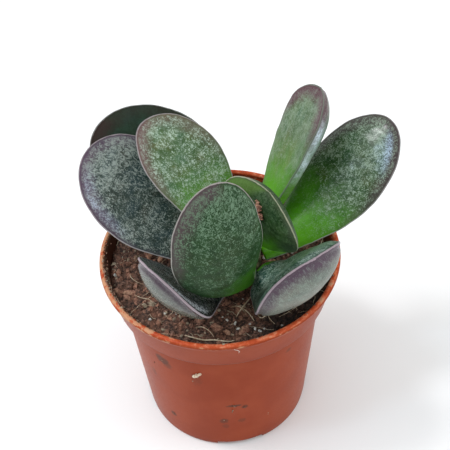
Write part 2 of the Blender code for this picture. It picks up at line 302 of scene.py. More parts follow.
def potPlastic():
    s, p = Shader("potPlastic"), pot
    place = s.place()
    x, y, height = (s.node("SeparateXYZ", {0: place}, axis) for axis in "XYZ")
    cloud = s.noise(place, 0.09, 3, 0.6)
    streak = s.noise(s.place((260, 260, 45)), 1, 3, 0.6)
    grain = s.noise(place, 1.6, 3, 0.6)
    s.colour = s.mix(s.step(cloud, 0.35, 0.68), p["colour"], p["rubbed"])
    s.paint(s.step(streak, 0.52, 0.75, 0, 0.3), p["rubbed"])
    s.paint(s.step(grain, 0.6, 0.74, 0, 0.1), p["pitted"])
    # Painted glow: the bead is painted brighter as if light shines through it, with pale streaks of painted
    # highlight and darker streaks
    lip = s.step(height + grain * 0.4, 49.65, 50.05)
    band = s.noise(s.place((450, 450, 1500)), 1, 4, 0.7)
    shade = s.mix(s.step(band, 0.46, 0.6), p["lipGlow"], p["lipHighlight"])
    shade = s.mix(s.step(band, 0.46, 0.34, 0, 0.7), shade, p["lipDeep"])
    s.paint(lip, shade)
    # Salts and dust have dried on the lip, most of all on its left
    crusted = band + s.step(x, -2, -21, 0.1, 1) * 0.16
    s.paint(s.step(crusted, 0.58, 0.68, 0, 0.75) * s.step(height, 48.4, 49), p["salts"])
    # Wet soil has dried on the wall inside, highest on the left
    radius = s.math("SQRT", x * x + y * y)
    level = grain * 2.2 + s.step(x, 4, -20, 47, 48.6)
    within = s.step(radius - height * collarSlope, 15.8, 15.5) * s.step(height, 44, 45)
    s.paint(within * s.step(height, level + 0.5, level) * 0.85, p["driedSoil"])
    # Painted shade darkens the groove under the collar, and splashes of soil dry on the wall
    groove = s.step(height, 38.4, 39.6) * s.step(height, 41.2, 40.2) * s.step(streak, 0.3, 0.62, 0.45, 0.85)
    s.paint(groove, p["collarShade"])
    s.paint(s.step(height + cloud * 4, 4.6, 1.6, 0, 0.28), p["footDust"])
    ragged = s.noise(place, 1.1, 4, 0.65)
    for degrees, level, wide, tall, dark in potMarks:
        turn = math.radians(degrees)
        reach = s.reach(place, around(outerRadius(level), turn, level), (2.5, wide, tall), turn)
        s.paint(s.step(reach + ragged * 1.5, 2, 1.35, 0, min(0.95, dark * 1.3)), p["splash"])
    rough = s.step(grain + cloud * 0.6, 0.55, 1.1, 0.28, 0.38) - lip * 0.1
    s.bump(s.noise(place, 3.2, 4, 0.6), 0.00003, 0.25)
    s.bump(streak, 0.00008, 0.2)
    return s.finish(rough, **{"Specular IOR Level": 0.06})


def buildPot():
    body = latheMesh("nurseryPot", potProfile(), pot["segments"], potWaver)
    turns = [math.radians(pot["notchTurn"] + 90.0 * i) for i in range(4)]
    cutters = [cutter(turn) for turn in turns for cutter in (channelCutter, drainCutter)]
    for cutter in cutters:
        boolean = body.modifiers.new(cutter.name, "BOOLEAN")
        boolean.operation = "DIFFERENCE"
        boolean.object = cutter
    applyModifiers(body)
    for cutter in cutters:
        bpy.data.objects.remove(cutter)
    body.data.shade_smooth()
    body.data.set_sharp_from_angle(angle=math.radians(38))
    finishPiece(body, potPlastic(), "pot_plastic", "pot")


# Leaves: what they share, in mm, degrees and shares of the length or width
leafShape = dict(
    facePower=0.62, turn=0.16, leanStart=0.3, meanClimb=0.55, dishLevel=0.33, seat=3.3, crownSeat=1,
    sideLift=0.25, crownLift=5, stemX=6.5, stemY=-4.5, spineSteps=60, rings=120, across=60,
    keelHeight=0.1, keelWidth=0.17, grooveDepth=0.05, groovePlace=0.7, grooveWidth=0.42, swellings=0.3,
    dimples=0.045, waver=0.22)

# Each leaf's shape, as in the solids: values named by leafKeys, then what isn't as in plainLeaf
plainLeaf = dict(
    widest=0.62, neck=0.23, neckBulge=0.55, swell=1.5, crown=False, rolled=1, wavy=1,
    slot="leaf_speckled")
leafKeys = "side height heading climb curl lean twist length width upper lower dish".split()
leafRows = dict(
    leaf_back_left=(109, 49, 140, 27, -1, -15, 19, 46, 29, 1.7, 2.6, 0.15, dict(slot="leaf_dark")),
    leaf_upper_left=(139, 54, 131, 50, -41, 2, 0, 35, 19, 1.9, 2, 0.25, dict()),
    leaf_left=(171, 51, 150, 32, 2, -16, 0, 41, 24, 1.5, 1.8, 0.06, dict(slot="leaf_dark")),
    leaf_front=(256, 52.5, 242, 51, 91, 46, 0, 44, 19, 1.9, 3, 0.03, dict()),
    leaf_middle=(322, 56, 296, 71, 1, -68, -20, 24, 20.5, 2.6, 2.8, -0.14,
        dict(crown=True, slot="leaf_young")),
    leaf_upright=(70, 54.5, 41, 54, 3, -28, 0, 37.5, 16, 1.7, 3.7, 0.23, dict(widest=0.8, wavy=2.2)),
    leaf_right=(17, 52, 29, 34, 12, 12, 0, 41, 19, 1.6, 2.4, -0.07, dict()),
    leaf_front_left=(226, 49.5, 217.7, 20.7, 81.5, -6.4, 12.8, 33.4, 17.7, 1.7, 3.7, 0.06,
        dict(widest=0.59, neck=0.2, swell=3.2, slot="leaf_dark", rolled=4.5)),
    leaf_front_right=(319, 49.5, 303.8, 30.5, 72.7, 12, -25.9, 26.2, 23.3, 3.8, 4.2, 0.11,
        dict(neck=0.25, neckBulge=0.36, swell=0.95, slot="leaf_dark", rolled=4.5)))
leaves = {node: dict(plainLeaf, **dict(zip(leafKeys, row)), **others)
          for node, (*row, others) in leafRows.items()}

# Skin: linear colours and shares of 0 to 1. Band gives the purple one's strength on each side and its
# width in mm; limeEnd is the share of the length that stays young and green, painted with a glow as if
# lit through; the last entry paints a highlight strip along one side; lowerGround colours the face turned
# down
plainSkin = dict(
    limeEnd=0.05, limeShare=0.95, limeSide=0, sparse=0, tipFlecks=0.012, lowerFlecks=1,
    lowerGround=None, streaks=1.1, torn=1.5, purpleFrom=0.25, upperBand=1, upperShade=1,
    marginWide=0.25, paleEdge=0, gloss=0.28, wax=0, sheen=None)
plainHighlightStrip = dict(face=0, even=0.15, inset=0)
leafSkin = dict(
    leaf_back_left=dict(
        dark=(0.006, 0.018, 0.008), light=(0.01, 0.03, 0.015), fleck=(0.045, 0.07, 0.055), flecks=0.15,
        purple=(0.028, 0.014, 0.012), band=(0.9, 0.4, 2.6), margin=(0.3, 0.32, 0.29), rough=0.42,
        gloss=0.16),
    leaf_upper_left=dict(
        dark=(0.04, 0.086, 0.024), light=(0.075, 0.138, 0.05), fleck=(0.43, 0.53, 0.44), flecks=0.85,
        purple=(0.15, 0.07, 0.08), band=(0.8, 0.45, 2.3), limeEnd=0.62, margin=(0.36, 0.35, 0.34),
        rough=0.36, tipFlecks=0),
    leaf_left=dict(
        dark=(0.014, 0.028, 0.022), light=(0.034, 0.054, 0.044), fleck=(0.32, 0.37, 0.33), flecks=0.78,
        purple=(0.085, 0.044, 0.08), band=(0.85, 0.65, 2.2), margin=(0.36, 0.34, 0.34), rough=0.32,
        tipFlecks=0.034, sheen=dict(
            tint=(0.44, 0.5, 0.62), strength=0.7, side=1, wide=4.2, start=0.5, end=0.9)),
    leaf_front=dict(
        dark=(0.007, 0.032, 0.005), light=(0.014, 0.052, 0.011), fleck=(0.165, 0.265, 0.17), flecks=0.82,
        sparse=0.031, purple=(0.07, 0.046, 0.052), band=(0, 0.95, 2.2), limeEnd=0.46, limeShare=0.52,
        margin=(0.42, 0.42, 0.38), rough=0.42, limeSide=0.8, tipFlecks=0.066, gloss=0.2),
    leaf_middle=dict(
        dark=(0.006, 0.024, 0.004), light=(0.015, 0.052, 0.009), fleck=(0.13, 0.21, 0.11), flecks=0.4,
        purple=(0.035, 0.06, 0.02), band=(0.2, 0.2, 0.8), limeEnd=0.6, margin=(0.44, 0.49, 0.33),
        rough=0.42, marginWide=0.17, paleEdge=0.06, sheen=dict(
            tint=(0.085, 0.18, 0.02), strength=0.75, side=-1, wide=6, start=0.55, end=1.2, face=1,
            even=0.9)),
    leaf_upright=dict(
        dark=(0.052, 0.104, 0.034), light=(0.1, 0.165, 0.072), fleck=(0.3, 0.37, 0.29), flecks=0.5,
        purple=(0.088, 0.034, 0.048), band=(0.95, 0.95, 2.6), purpleFrom=0.62, limeEnd=0.74,
        margin=(0.17, 0.21, 0.16), rough=0.3, streaks=0.3, sheen=dict(
            tint=(0.66, 0.78, 0.86), strength=1, side=-1, wide=5.5, start=0.4, end=0.84, face=1,
            even=0.45)),
    leaf_right=dict(
        dark=(0.012, 0.046, 0.008), light=(0.032, 0.08, 0.017), fleck=(0.34, 0.44, 0.34), flecks=0.68,
        sparse=0.012, tipFlecks=0.038, purple=(0.048, 0.028, 0.034), band=(0.75, 0.9, 2.1), limeEnd=0.62,
        margin=(0.26, 0.26, 0.24), rough=0.24, wax=0.4, gloss=0.2, sheen=dict(
            tint=(0.52, 0.68, 0.92), strength=0.74, side=-1, wide=6.6, start=0.7, end=1.2, even=0.2,
            inset=0.6)),
    leaf_front_left=dict(
        dark=(0.012, 0.02, 0.02), light=(0.03, 0.042, 0.04), fleck=(0.31, 0.33, 0.29), flecks=0.64,
        purple=(0.058, 0.034, 0.052), band=(0.95, 0.95, 1.8), margin=(0.46, 0.4, 0.43), rough=0.24,
        upperShade=0.6, marginWide=0.26, wax=0.3, upperBand=0.12, torn=0.55, lowerFlecks=0.38,
        lowerGround=(0.105, 0.12, 0.092), sheen=dict(
            tint=(0.74, 0.78, 0.84), strength=1, side=1, wide=3.6, start=0.45, end=0.98)),
    leaf_front_right=dict(
        dark=(0.014, 0.052, 0.03), light=(0.04, 0.1, 0.064), fleck=(0.39, 0.49, 0.42), flecks=0.8,
        purple=(0.074, 0.042, 0.066), band=(0.95, 0.95, 1.9), margin=(0.46, 0.4, 0.43), rough=0.3,
        marginWide=0.26, upperBand=0.12, torn=0.55, lowerFlecks=0.38, lowerGround=(0.205, 0.207, 0.178)))
limeGreen = (0.085, 0.33, 0.001)


def compass(degrees, climb=0.0):
    # Direction towards a side given in degrees; its climb is in radians
    angle, climb = math.radians(degrees), np.asarray(climb, float)
    return np.stack([np.cos(climb) * math.cos(angle), np.cos(climb) * math.sin(angle), np.sin(climb)], -1)


def leafDirection(leaf, t):
    s = leafShape
    lift = s["crownLift"] if leaf["crown"] else s["sideLift"]
    away = unit(compass(leaf["side"]) + np.array([0.0, 0.0, lift]))
    climb = np.radians(leaf["climb"] + leaf["curl"] * (s["meanClimb"] - (1.0 - t) ** 2))
    share = ease(t / s["turn"])[:, None]
    return unit(away * (1 - share) + compass(leaf["heading"], climb) * share)


def leafPlace(leaf, t):
    # Middle, direction across and direction out of the upper face, for shares t of the length
    s = leafShape
    seat = s["crownSeat"] if leaf["crown"] else s["seat"]
    start = np.array([s["stemX"], s["stemY"], leaf["height"]]) + seat * compass(leaf["side"])
    grid = np.linspace(0, 1, s["spineSteps"] + 1)
    ways = leafDirection(leaf, grid)
    steps = (ways[1:] + ways[:-1]) * 0.5 * leaf["length"] / s["spineSteps"]
    spine = np.vstack([start, start + np.cumsum(steps, 0)])
    middle = np.stack([np.interp(t, grid, spine[:, i]) for i in range(3)], -1)
    along = leafDirection(leaf, t)
    share = ease(t / s["turn"])[:, None]
    level = compass(leaf["side"] + 90) * (1 - share) + compass(leaf["heading"] + 90) * share
    level = unit(level - (level * along).sum(-1, keepdims=True) * along)
    upright = np.cross(along, level)
    roll = np.radians(leaf["lean"] + leaf["twist"] * (t - 0.5)) * ease(t / s["leanStart"])
    c, n = np.cos(roll)[:, None], np.sin(roll)[:, None]
    return middle, level * c + upright * n, upright * c - level * n


def leafSwell(leaf, t):
    # Shares of the full width and of the full thickness
    widest, neck, bulge = leaf["widest"], leaf["neck"], leaf["neckBulge"]
    late = np.clip(1 - ((t - widest) / (1 - widest)) ** 2, 0, 1)
    early = np.sin(np.pi / 2 * np.clip(t / widest, 0, 1))
    outline = np.where(t > widest, np.sqrt(late), neck + (1 - neck) * early ** leaf["swell"])
    return outline, np.where(t > widest, late ** leafShape["facePower"], bulge + (1 - bulge) * early)


def leafPoint(leaf, t, angle):
    # Point of the leaf's surface: angle 0 to pi crosses the upper face, pi to 2 pi the lower one
    s = leafShape
    middle, across, out = leafPlace(leaf, t)
    u = np.cos(angle)
    outline, thickness = leafSwell(leaf, t)
    face = np.where(np.sin(angle) >= 0, leaf["upper"], -leaf["lower"])
    crown = face * np.clip(1 - u * u, 0, 1) ** s["facePower"] * thickness
    half = leaf["width"] / 2
    dish = leaf["dish"] * half * (u * u - s["dishLevel"]) * outline
    return middle + across * (half * outline * u)[:, None] + out * (crown + dish)[:, None]


def buildLeafMesh(name, leaf, seed):
    s, widest, length = leafShape, leaf["widest"], leaf["length"]
    a = np.linspace(0, 1, s["rings"])[:-1]
    t = np.where(a < 0.5, 2 * a * widest, widest + (1 - widest) * np.sin(np.pi * (a - 0.5)))
    angle = np.linspace(0, 2 * np.pi, 2 * s["across"], endpoint=False)
    share, turn = np.meshgrid(t, angle, indexing="ij")
    flat = leafPoint(leaf, share.ravel(), turn.ravel())
    grid = flat.reshape(*share.shape, 3)
    middle = leafPlace(leaf, t)[0][:, None]
    normal = unit(np.cross(np.roll(grid, -1, 1) - np.roll(grid, 1, 1), np.gradient(grid, axis=0)))
    # Distance from the leaf's edge, over the surface
    rim = leafPoint(leaf, np.repeat(np.append(t, 1.0), 2), np.tile([0.0, np.pi], len(t) + 1))
    edge = nearest(flat, rim).reshape(share.shape)
    # Horny keel round the edge, a shallow groove inside it, slow swellings and small dimples
    rolled = leaf["rolled"]
    keel = s["keelHeight"] * rolled ** 0.5 * np.exp(-(edge / s["keelWidth"] / rolled ** 0.35) ** 2)
    lowerSide = ease(0.5 - np.sin(turn) * 4.0)
    groove = np.exp(-((edge - s["groovePlace"] * rolled ** 0.2) / s["grooveWidth"]) ** 2)
    groove = groove * s["grooveDepth"] * (1.0 + rolled * lowerSide)
    lumps = noiseAt(flat * 0.13, (seed * 7.3, 0, 0)).reshape(share.shape) * s["swellings"] * ease(edge / 3.0)
    small = noiseAt(flat * 0.62, (0, seed * 5.1, 0)).reshape(share.shape) * s["dimples"]
    spots = np.stack([share * length * 0.22, np.cos(turn) * 2.0, np.full(share.shape, seed * 3.3)], -1)
    waver = s["waver"] * leaf["wavy"] * noiseAt(spots.reshape(-1, 3)).reshape(share.shape)
    fade = ease(share / 0.12)
    grid = grid + unit(grid - middle) * (waver * np.exp(-(edge / 2.5) ** 2) * fade)[..., None]
    grid = grid + normal * ((keel - groove + lumps + small) * fade)[..., None]
    rings, count = share.shape
    end = np.array([1.0])
    tip = leafPoint(leaf, end, 0 * end)[0] + leafDirection(leaf, end)[0] * s["keelHeight"] * 1.3
    points = np.vstack([grid.reshape(-1, 3), tip, grid[0].mean(0)])
    faces = ringFaces(rings, count) + fan(rings * count, (rings - 1) * count, count)
    thing = makeMesh(name, points, faces + fan(rings * count + 1, 0, count, flip=True))
    across = np.cos(turn) * leaf["width"] / 2 * leafSwell(leaf, share)[0]
    place = np.stack([across, share * length, lowerSide * 40.0 + seed * 90.0], -1).reshape(-1, 3)
    ends = [[0, length, 20.0 + seed * 90.0], [0, 0, 20.0 + seed * 90.0]]
    addAttribute(thing, "leafPlace", "FLOAT_VECTOR", np.vstack([place, ends]))
    sideways = np.cos(turn) * ease(edge / 0.6 + 0.4)
    for key, values, ends in (("edgeMm", edge, (0.0, 2.0)), ("alongShare", share, (1.0, 0.0)),
                              ("lowerFace", lowerSide, (0.5, 0.5)), ("sideways", sideways, (0.0, 0.0))):
        addAttribute(thing, key, "FLOAT", np.append(values.ravel(), ends))
    return thing


def tinted(colour, factors):
    return tuple(c * k for c, k in zip(colour, factors))


def leafSkinMaterial(name, look):
    s = Shader(name)
    place = s.node("Attribute", out="Vector", attribute_name="leafPlace")
    edge, along, lower, side = (s.node("Attribute", out="Fac", attribute_name=key)
                                for key in ("edgeMm", "alongShare", "lowerFace", "sideways"))
    stretched = s.place((1, 0.7, 1), place)
    patch = s.noise(place, 0.13, 4, 0.65)
    tone = s.noise(s.place((0.8, look["streaks"], 1.3), place), 0.21, 4, 0.6)
    cloud = s.noise(place, 0.4, 4, 0.65)
    mottle = s.noise(stretched, 1.8, 4, 0.75, 1)
    fine = s.noise(stretched, 5.4, 3, 0.7, 0.3)
    # Ground colour, olive in some patches and bluish in others
    light, margin = look["light"], look["margin"]
    s.colour = s.mix(s.step(cloud, 0.34, 0.66), look["dark"], light)
    s.paint(s.step(tone, 0.5, 0.68, 0, 0.55), tinted(light, (1.35, 0.8, 0.62)))
    s.paint(s.step(tone, 0.5, 0.34, 0, 0.5), tinted(light, (0.6, 0.86, 1.25)))
    # Lime green at the base, where the skin is young and bare, painted with a glow as if light shines through
    # it
    wander = along + (patch - 0.5) * 0.45 - side * (0.16 * look["limeSide"])
    lime = s.step(wander, look["limeEnd"], look["limeEnd"] * 0.25)
    s.paint(lime * look["limeShare"], limeGreen)
    if look["lowerGround"]:
        under = s.step(lower, 0.3, 0.7) * s.step(tone, 0.3, 0.7, 0.6, 0.9)
        s.paint(under, look["lowerGround"])
    # Purple-brown band inside the edge, wider towards the tip and torn by patches
    one, other, wide = look["band"]
    inward = edge + (patch - 0.5) * (2.6 * wide) + (mottle - 0.5) * (look["torn"] * wide)
    tipward = s.step(along, look["purpleFrom"], 0.88)
    band = s.step(inward / (tipward * wide + 0.5), 1.7, 0.3) * s.step(side, -0.55, 0.55, other, one)
    band = band * (tipward * 0.8 + 0.2) * s.step(lower, 0.2, 0.6, look["upperBand"], 1)
    s.paint(band, look["purple"])
    # Pale flecks: a thin haze and sharp ones in it, thinner in the band and on the young base
    chain = mottle * 0.55 + fine * 0.45
    thick = chain + (cloud - 0.5) * 0.16 + (patch - 0.5) * 0.14
    thick = thick + s.step(along, 0.5, 0.95, -look["sparse"], look["tipFlecks"] - look["sparse"])
    fleck = s.step(thick, 0.46, 0.55, 0, 0.16) + s.step(thick, 0.512, 0.562, 0, 0.84)
    fleck = fleck * (1 - band * 0.45) * (1 - lime * 0.9) * s.step(edge, 0.25, 0.9, 0, look["flecks"])
    shade = s.step(lower, 0.3, 0.7, look["upperShade"], 1)
    fleck = fleck * shade * s.step(lower, 0.3, 0.7, 1, look["lowerFlecks"])
    s.colour = s.node("VectorMath", {0: s.colour, "Scale": shade}, operation="SCALE")
    s.paint(fleck, look["fleck"])
    s.paint(s.step(edge, 1.3, 0.3, 0, look["paleEdge"]), margin)
    if look["sheen"]:
        # Painted highlight along a strip just inside one edge; on the middle leaf it paints a lit lime patch
        sheen = dict(plainHighlightStrip, **look["sheen"])
        keys = ("wide", "start", "end", "face", "even", "inset")
        wide, start, end, face, even, inset = (sheen[key] for key in keys)
        strip = s.step(edge, 0.5 - 0.4 * face + inset, 1.3 - 0.8 * face + 1.8 * inset)
        strip = strip * s.step(edge + (cloud - 0.5) * (0.9 * wide), wide, wide * 0.35)
        strip = strip * s.step(side * sheen["side"], 0.2, 0.6) * s.step(lower, 1 - face, face)
        strip = strip * s.step(along, start, start + 0.2) * s.step(along, end + 0.08, end - 0.08)
        strip = strip * s.step(patch, 0.36, 0.56, max(0.35, even), 1) * s.step(chain, 0.46, 0.55, even, 1)
        s.paint(strip * sheen["strength"], sheen["tint"])
    # Horny edge line, duller towards the tip
    wide = look["marginWide"]
    line = s.step(edge + (s.noise(place, 0.9, 3) - 0.5) * 0.3, wide, wide * 0.55, 0, 0.85)
    marginColour = s.mix(s.step(along, 0.45, 0.95), margin, tinted(margin, (0.86, 0.78, 0.81)))
    s.paint(line, marginColour)
    rough = fleck * 0.15 + (cloud - 0.5) * 0.2 + lime * 0.22 + look["rough"]
    s.bump(s.noise(place, 8, 2), 0.00003, 0.6)
    s.bump(chain, 0.00014, 0.7)
    s.bump(cloud, 0.0004, 0.35)
    return s.finish(rough, **{"IOR": 1.45, "Specular IOR Level": look["gloss"], "Coat Weight": look["wax"],
                              "Coat Roughness": 0.18})


def buildLeaves():
    made = []
    for seed, (node, leaf) in enumerate(leaves.items(), 1):
        words = node.split("_")[1:] + ["leaf"]
        name = words[0] + "".join(word.title() for word in words[1:])
        made.append(buildLeafMesh(name, leaf, seed))
        skin = leafSkinMaterial(name + "Skin", dict(plainSkin, **leafSkin[node]))
        finishPiece(made[-1], skin, leaf["slot"], node)
    return made


# Soil: the solid's lumps with finer ones on top, in mm; relief gives wave numbers and heights
soil = dict(
    top=46.35, bottom=2.7, wallGap=0.06, rings=110, segments=260,
    lumps=[(0.55, 0.21, 1.3, 0.16), (-0.34, 0.66, 0.4, 0.15), (1.05, -0.72, 2, 0.12), (0.88, 1.27, 5.1, 0.1)],
    relief=[(0.42, 0.5), (0.95, 0.55), (2.1, 0.34), (4.3, 0.18)], leafShadowPlace=(17, -15, 46.5),
    leafShadowSize=(13, 7, 9), leafShadowColour=(0.012, 0.008, 0.007), gritColour=(0.2, 0.15, 0.11))

# Dark, light and rusty colour, and the share of the rusty one
peatColours = dict(
    peat=((0.02, 0.011, 0.008), (0.19, 0.094, 0.063), (0.29, 0.124, 0.074), 0.6),
    peatCrumb=((0.045, 0.024, 0.017), (0.35, 0.185, 0.13), (0.43, 0.195, 0.12), 0.7),
    barkCrumb=((0.16, 0.062, 0.038), (0.5, 0.255, 0.17), (0.6, 0.37, 0.24), 0.6),
    paleCrumb=((0.22, 0.16, 0.11), (0.48, 0.39, 0.28), (0.36, 0.24, 0.15), 0.4))


def soilHeight(x, y):
    return soil["top"] + sum(height * np.sin(a * x + b * y + phase) for a, b, phase, height in soil["lumps"])


def soilEdge(level):
    return outerRadius(level) - pot["wall"] - soil["wallGap"]


def soilSurface():
    edge = soilEdge(soil["top"])
    radius = edge * np.linspace(0, 1, soil["rings"] + 1)[1:]
    turn = np.linspace(0, 2 * np.pi, soil["segments"], endpoint=False)
    r, a = np.meshgrid(radius, turn, indexing="ij")
    x, y = r * np.cos(a), r * np.sin(a)
    spots = [Vector((px, py, 3.7)) for px, py in zip(x.ravel(), y.ravel())]
    relief = [sum(height * noise.noise(spot * wave) for wave, height in soil["relief"]) for spot in spots]
    z = soilHeight(x, y) + np.array(relief).reshape(x.shape) - 0.25
    # It lies a little lower against the wall
    return np.stack([x, y, z - 0.35 * ease((r - edge + 2.5) / 2.5)], -1)


def peatMaterial(name):
    dark, light, rusty, share = peatColours[name]
    s = Shader(name)
    place = s.place()
    cloud = s.noise(place, 0.35, 4, 0.65)
    crumb = s.noise(place, 1.7, 4, 0.7)
    grit = s.noise(place, 5, 3, 0.7)
    s.colour = s.mix(s.step(crumb, 0.36, 0.66), dark, light)
    s.paint(s.step(cloud, 0.48, 0.66, 0, share), rusty)
    s.paint(s.step(grit, 0.66, 0.76, 0, 0.6), soil["gritColour"])
    # Painted shadow: the soil is darkened under the front right leaf
    leafShadow = s.reach(place, soil["leafShadowPlace"], soil["leafShadowSize"], math.radians(45)) + cloud * 0.5
    s.paint(s.step(leafShadow, 1.25, 0.8, 0, 0.8), soil["leafShadowColour"])
    s.bump(crumb, 0.00035, 0.8)
    s.bump(grit, 0.00012, 0.8)
    return s.finish(s.step(crumb, 0.3, 0.7, 0.75, 0.95))


def buildSoil():
    count, bottom = soil["segments"], soil["bottom"]
    levels = [45.0, pot["collarHeight"], bodyHigh, 20.0, bottom]
    turn = np.linspace(0, 2 * np.pi, count, endpoint=False)
    sides = [around(soilEdge(level), turn, level) for level in levels]
    points = np.vstack([[0, 0, soilHeight(0.0, 0.0)], soilSurface().reshape(-1, 3), *sides, [0, 0, bottom]])
    rings = soil["rings"] + len(levels)
    faces = fan(0, 1, count) + ringFaces(rings, count, 1, flip=True)
    faces += fan(len(points) - 1, 1 + (rings - 1) * count, count, flip=True)
    finishPiece(makeMesh("soilBed", points, faces), peatMaterial("peat"), "peat", "soil")


# Stem: ringed bark between the leaf bases, in mm
stem = dict(
    radius=2.75, top=55.2, bottom=36, taper=4, pitch=1.8, sides=96, dark=(0.075, 0.06, 0.03),
    light=(0.16, 0.15, 0.07), rings=(0.05, 0.032, 0.018))


def barkFolds(radius, height, angle):
    fold = 0.05 * np.sin(9 * angle + height * 1.3) + 0.04 * np.sin(17 * angle - height * 2.0)
    return radius * (1.0 + fold - 0.06), height


def buildStem():
    p = stem
    heights = np.linspace(p["bottom"], p["top"], 120)
    low = np.sqrt(np.clip(1 - np.clip(1 - (heights - p["bottom"]) / p["taper"], 0, 1) ** 2, 0, 1))
    dome = np.sqrt(np.clip(1 - np.clip((heights - p["top"] + 1.0), 0, 1) ** 2, 0, 1))
    waist = 1.0 - 0.07 * (0.5 - 0.5 * np.cos(2 * np.pi * (heights - p["bottom"] - p["taper"]) / p["pitch"]))
    radius = np.maximum(p["radius"] * low * dome * waist, 0.05)
    radius[[0, -1]] = 0.0
    thing = latheMesh("stemNeck", list(zip(radius, heights)), p["sides"], barkFolds)
    thing.data.transform(Matrix.Translation((leafShape["stemX"] * mm, leafShape["stemY"] * mm, 0.0)))
    s = Shader("stemBark")
    rings = s.noise(s.place((300.0, 300.0, 2200.0)), 1.0, 3.0, 0.6)
    s.colour = s.mix(s.step(s.noise(s.place(), 0.8, 4.0, 0.6), 0.35, 0.65), p["dark"], p["light"])
    s.paint(s.step(rings, 0.5, 0.7, 0.0, 0.7), p["rings"])
    s.bump(rings, 0.0002, 0.7)
    finishPiece(thing, s.finish(0.8), "stem_bark", "stem")


# Grains, chips and fibres, scattered over the soil by Geometry Nodes
class Flow(Nodes):
    def __init__(self, name, keys):
        self.tree = bpy.data.node_groups.new(name, "GeometryNodeTree")
        kinds = {"Surface": "Geometry", "Grain": "Material", "Detail": "Int", "Seed": "Int"}
        keys = ["Surface", "Grain", *keys]
        for key in keys:
            kind = "NodeSocket" + kinds.get(key, "Float")
            self.tree.interface.new_socket(key, in_out="INPUT", socket_type=kind)
        self.tree.interface.new_socket("Result", in_out="OUTPUT", socket_type="NodeSocketGeometry")
        outputs = self.tree.nodes.new("NodeGroupInput").outputs
        self.source = {key: Value(self, outputs[key]) for key in keys}

    def vector(self, x, y, z):
        return self.node("CombineXYZ", {0: x, 1: y, 2: z})

    def random(self, low, high, shift):
        seed = self.source["Seed"] + float(shift)
        return self.node("FunctionNodeRandomValue", {2: low, 3: high, "Seed": seed}, 1, data_type="FLOAT")

    def copies(self, shape, skew, low, high, roll, flatness, thinness):
        # Copies of a shape where the soil lies open, most of them small, each with its own turn
        g = self.source
        openness = self.node("GeometryNodeInputNamedAttribute", {"Name": "open"}, data_type="FLOAT")
        points = self.node("GeometryNodeDistributePointsOnFaces", {
            "Mesh": g["Surface"], "Density": g["Density"] * openness, "Seed": g["Seed"]})
        share = self.math("POWER", self.random(0.0, 1.0, 1), skew)
        size = self.node("MapRange", {"Value": share, "To Min": low, "To Max": high})
        back, ahead = g["Tumble"] * -1.0, g["Tumble"]
        turn = self.vector(self.random(back, ahead, 2) * roll, self.random(back, ahead, 3),
                           self.random(-math.pi, math.pi, 4))
        copies = self.node("GeometryNodeInstanceOnPoints", {
            "Points": points, "Instance": shape, "Rotation": turn,
            "Scale": self.vector(size, size * flatness, size * thinness)})
        return self.node("GeometryNodeRealizeInstances", {0: copies})

    def move(self, geometry, scale, depth, sink):
        # Moves every point by a noise of its own place, and everything down by sink
        where = self.node("GeometryNodeInputPosition")
        cloud = self.node("TexNoise", {"Vector": where, "Scale": scale, "Detail": 2.0}, "Color")
        middle = self.node("VectorMath", {0: cloud, 1: (0.5, 0.5, 0.5)}, operation="SUBTRACT")
        push = self.node("VectorMath", {0: middle, "Scale": depth}, operation="SCALE")
        down = self.vector(0.0, 0.0, self.math("MULTIPLY", sink, -1.0))
        offset = self.node("VectorMath", {0: push, 1: down}, operation="ADD")
        return self.node("GeometryNodeSetPosition", {"Geometry": geometry, "Offset": offset})

    def end(self, geometry):
        values = {"Geometry": geometry, "Material": self.source["Grain"]}
        painted = self.node("GeometryNodeSetMaterial", values)
        self.join(painted, self.tree.nodes.new("NodeGroupOutput").inputs[0])
        return self.tree


def grainTree():
    f = Flow("scatterGrains", grainKeys)
    g = f.source
    ball = f.node("GeometryNodeMeshIcoSphere", {"Radius": 0.5, "Subdivisions": g["Detail"]})
    copies = f.copies(ball, 2.4, g["Smallest"], g["Largest"], 1.0, g["Flatness"], g["Thinness"])
    return f.end(f.move(copies, 2300.0, g["Ragged"] * 0.001, g["Sink"]))


def fibreTree():
    f = Flow("scatterFibres", fibreKeys)
    g = f.source
    line = f.node("GeometryNodeMeshLine", {"Count": 14, "Start Location": (-0.5, 0.0, 0.0),
                                           "Offset": (1.0 / 13, 0.0, 0.0)})
    lines = f.copies(line, 1.6, g["Shortest"], g["Longest"], 0.0, 1.0, 1.0)
    lines = f.move(f.move(lines, 240.0, g["Wander"], g["Sink"]), 900.0, g["Wander"] * 0.25, 0.0)
    ring = f.node("GeometryNodeCurvePrimitiveCircle", {"Resolution": 5, "Radius": g["Radius"]})
    curve = f.node("GeometryNodeMeshToCurve", {0: lines})
    return f.end(f.node("GeometryNodeCurveToMesh", {0: curve, 1: ring, "Fill Caps": True}))


def scatter(name, tree, surface, values, material, smooth):
    thing = addObject(name, surface.data.copy())
    modifier = thing.modifiers.new("grains", "NODES")
    modifier.node_group = tree
    sockets = {item.name: item.identifier for item in tree.interface.items_tree}
    for key, value in dict(values, Grain=material).items():
        modifier[sockets[key]] = value
    applyModifiers(thing)
    if smooth:
        thing.data.shade_smooth()
    finishPiece(thing, None, "peat")


def soilPatch(leafThings):
    # A coarse copy of the soil's surface; its attribute says where it lies open, clear of the leaves
    grid = soilSurface()[::2, ::2]
    points = grid.reshape(-1, 3)
    near = np.full(len(points), np.inf)
    for thing in leafThings:
        corners = np.empty(len(thing.data.vertices) * 3, np.float32)
        thing.data.vertices.foreach_get("co", corners)
        near = np.minimum(near, nearest(points, corners.reshape(-1, 3)[::7] / mm))
    patch = makeMesh("soilPatch", points, ringFaces(*grid.shape[:2], flip=True))
    addAttribute(patch, "open", "FLOAT", ease((near - 0.9) / 0.6))
    return patch


